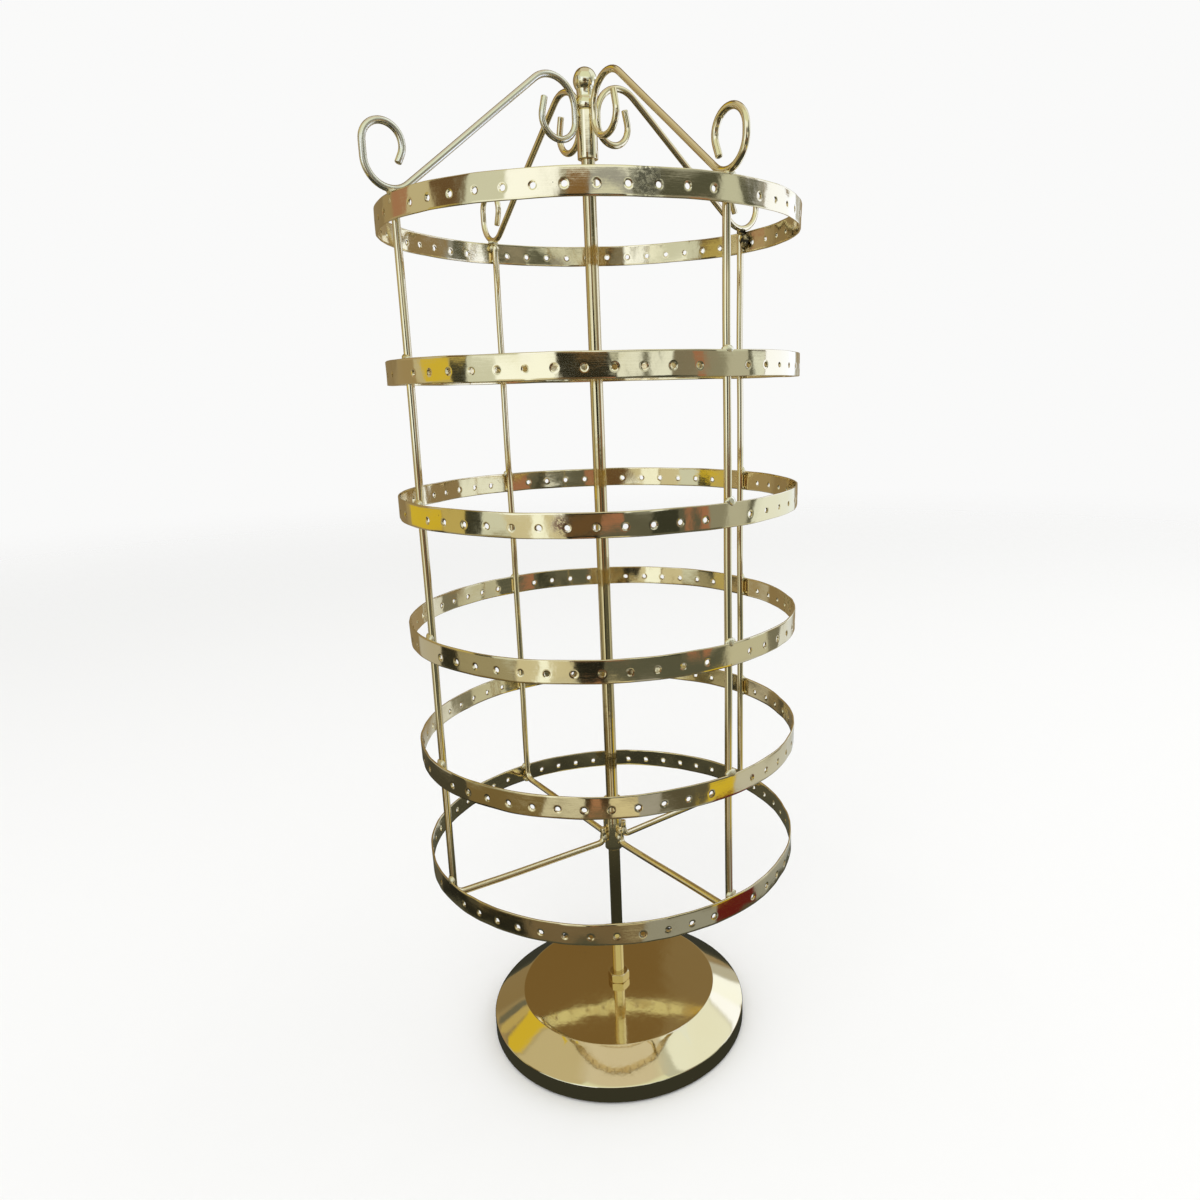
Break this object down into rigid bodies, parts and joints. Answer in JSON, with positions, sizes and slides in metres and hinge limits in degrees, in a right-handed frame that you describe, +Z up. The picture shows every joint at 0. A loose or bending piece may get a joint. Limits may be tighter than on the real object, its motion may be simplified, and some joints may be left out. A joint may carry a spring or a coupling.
{
  "type": "rotating display rack",
  "caption": "Countertop earring rack: a wire cage of perforated gold-plated bands with scrolled top wires turns on a fixed pole above a round weighted base.",
  "frame": {"origin": "on the pole's axis, at the plane the rack stands on", "axes": "+Z up along the pole; the four uprights stand on the X and Y axes, so right is +X, back is +Y, left is -X and front is -Y"},
  "size_m": [0.2036, 0.2036, 0.4646],
  "materials": {
    "gold_plate": "bright pale gold plating over polished steel",
    "ballast_iron": "rough cast",
    "zinc_plate": "zinc plated",
    "felt_pad": "black felt",
    "pivot_plastic": "natural nylon"
  },
  "bodies": {
    "base": {"base_cover": "gold_plate", "ballast_disc": "ballast_iron", "bottom_plate": "zinc_plate", "base_pad": "felt_pad", "pole": "gold_plate", "upper_nut": "gold_plate", "lower_nut": "zinc_plate", "lower_washer": "zinc_plate"},
    "cage": {"hub_tube": "gold_plate", "top_sleeve": "gold_plate", "pivot_cup": "pivot_plastic", "finial": "gold_plate", "band_1": "gold_plate", "band_2": "gold_plate", "band_3": "gold_plate", "band_4": "gold_plate", "band_5": "gold_plate", "band_6": "gold_plate", "upright_right": "gold_plate", "upright_back": "gold_plate", "upright_left": "gold_plate", "upright_front": "gold_plate", "scroll_right": "gold_plate", "scroll_back": "gold_plate", "scroll_left": "gold_plate", "scroll_front": "gold_plate"}
  },
  "joints": [
    {"name": "cage_spin", "type": "hinge", "parent": "base", "child": "cage", "pos_m": [0, 0, 0.434], "axis": [0, 0, 1], "continuous": true}
  ]
}
